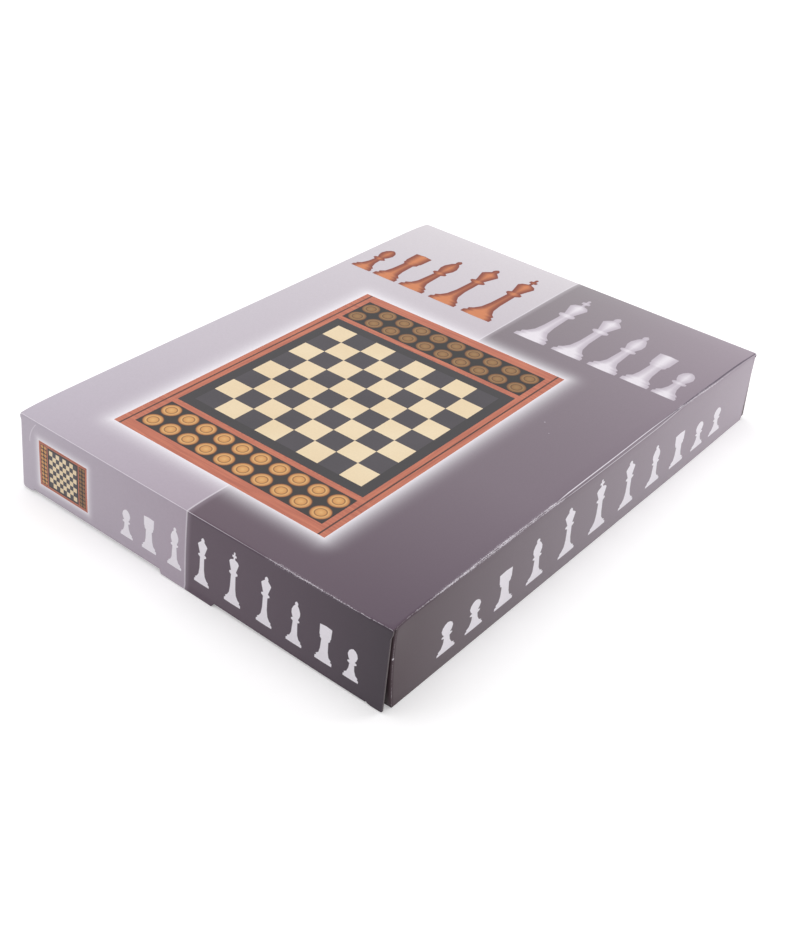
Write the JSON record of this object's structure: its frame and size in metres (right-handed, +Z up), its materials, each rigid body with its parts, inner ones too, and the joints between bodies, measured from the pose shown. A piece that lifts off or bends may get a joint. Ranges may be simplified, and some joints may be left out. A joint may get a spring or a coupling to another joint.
{
  "type": "boxed chess set",
  "caption": "Flat folding carton with tuck-in end closures that open on creases, holding a wooden chess case with board, lidded compartments and men.",
  "frame": {"origin": "middle of the underside of the closed carton", "axes": "+X across the carton to its right side, +Y along it from the front end to the rear end, +Z up"},
  "size_m": [0.29, 0.4018, 0.053],
  "materials": {
    "printed_carton_board": "printed and varnished micro-flute board, semi-gloss outside and plain grey inside",
    "mahogany_stained_wood": "mahogany stain under satin lacquer",
    "plywood": "sanded plywood",
    "dark_veneer": "dark stained veneer, satin",
    "light_veneer": "pale maple veneer, satin",
    "baize": "short-napped dark cloth",
    "felt": "pressed wool felt",
    "boxwood": "turned boxwood, waxed",
    "ebonised_wood": "turned wood, stained black"
  },
  "bodies": {
    "root": {"top_panel": "printed_carton_board", "bottom_panel": "printed_carton_board", "left_panel": "printed_carton_board", "right_panel": "printed_carton_board", "glue_flap": "printed_carton_board", "case_left_rail": "mahogany_stained_wood", "case_right_rail": "mahogany_stained_wood", "case_front_rail": "mahogany_stained_wood", "case_rear_rail": "mahogany_stained_wood", "case_base": "plywood", "front_divider": "mahogany_stained_wood", "rear_divider": "mahogany_stained_wood", "board_panel": "plywood", "board_border": "dark_veneer", "dark_squares": "dark_veneer", "light_squares": "light_veneer", "front_lid": "mahogany_stained_wood", "rear_lid": "mahogany_stained_wood", "front_lining": "baize", "rear_lining": "baize", "felt_feet": "felt", "white_king": "boxwood", "white_queen": "boxwood", "white_bishops": "boxwood", "white_knights": "boxwood", "white_rooks": "boxwood", "white_pawns": "boxwood", "white_draughtsmen": "boxwood", "black_king": "ebonised_wood", "black_queen": "ebonised_wood", "black_bishops": "ebonised_wood", "black_knights": "ebonised_wood", "black_rooks": "ebonised_wood", "black_pawns": "ebonised_wood", "black_draughtsmen": "ebonised_wood"},
    "front_closure": {"front_closure": "printed_carton_board"},
    "front_tongue": {"front_tongue": "printed_carton_board"},
    "front_left_dust_flap": {"front_left_dust_flap": "printed_carton_board"},
    "front_right_dust_flap": {"front_right_dust_flap": "printed_carton_board"},
    "rear_closure": {"rear_closure": "printed_carton_board"},
    "rear_tongue": {"rear_tongue": "printed_carton_board"},
    "rear_left_dust_flap": {"rear_left_dust_flap": "printed_carton_board"},
    "rear_right_dust_flap": {"rear_right_dust_flap": "printed_carton_board"}
  },
  "joints": [
    {"name": "front_closure_hinge", "type": "hinge", "parent": "root", "child": "front_closure", "pos_m": [0, -0.19755, 0.05225], "axis": [-1, 0, 0], "range_deg": [0, 165]},
    {"name": "front_tongue_fold", "type": "hinge", "parent": "front_closure", "child": "front_tongue", "pos_m": [0, -0.20004, 0.00305], "axis": [-1, 0, 0], "range_deg": [0, 35]},
    {"name": "front_left_dust_flap_fold", "type": "hinge", "parent": "root", "child": "front_left_dust_flap", "pos_m": [-0.14425, -0.19575, 0], "axis": [0, 0, -1], "range_deg": [0, 58]},
    {"name": "front_right_dust_flap_fold", "type": "hinge", "parent": "root", "child": "front_right_dust_flap", "pos_m": [0.14425, -0.19575, 0], "axis": [0, 0, 1], "range_deg": [0, 58]},
    {"name": "rear_closure_hinge", "type": "hinge", "parent": "root", "child": "rear_closure", "pos_m": [0, 0.19755, 0.05225], "axis": [1, 0, 0], "range_deg": [0, 165]},
    {"name": "rear_tongue_fold", "type": "hinge", "parent": "rear_closure", "child": "rear_tongue", "pos_m": [0, 0.20004, 0.00305], "axis": [1, 0, 0], "range_deg": [0, 35]},
    {"name": "rear_left_dust_flap_fold", "type": "hinge", "parent": "root", "child": "rear_left_dust_flap", "pos_m": [-0.14425, 0.19575, 0], "axis": [0, 0, 1], "range_deg": [0, 58]},
    {"name": "rear_right_dust_flap_fold", "type": "hinge", "parent": "root", "child": "rear_right_dust_flap", "pos_m": [0.14425, 0.19575, 0], "axis": [0, 0, -1], "range_deg": [0, 58]}
  ],
  "couplings": [
    {"joint": "front_tongue_fold", "follows": "front_closure_hinge", "ratio": 0.2},
    {"joint": "front_left_dust_flap_fold", "follows": "front_closure_hinge", "ratio": 0.35},
    {"joint": "front_right_dust_flap_fold", "follows": "front_closure_hinge", "ratio": 0.35},
    {"joint": "rear_tongue_fold", "follows": "rear_closure_hinge", "ratio": 0.2},
    {"joint": "rear_left_dust_flap_fold", "follows": "rear_closure_hinge", "ratio": 0.35},
    {"joint": "rear_right_dust_flap_fold", "follows": "rear_closure_hinge", "ratio": 0.35}
  ]
}
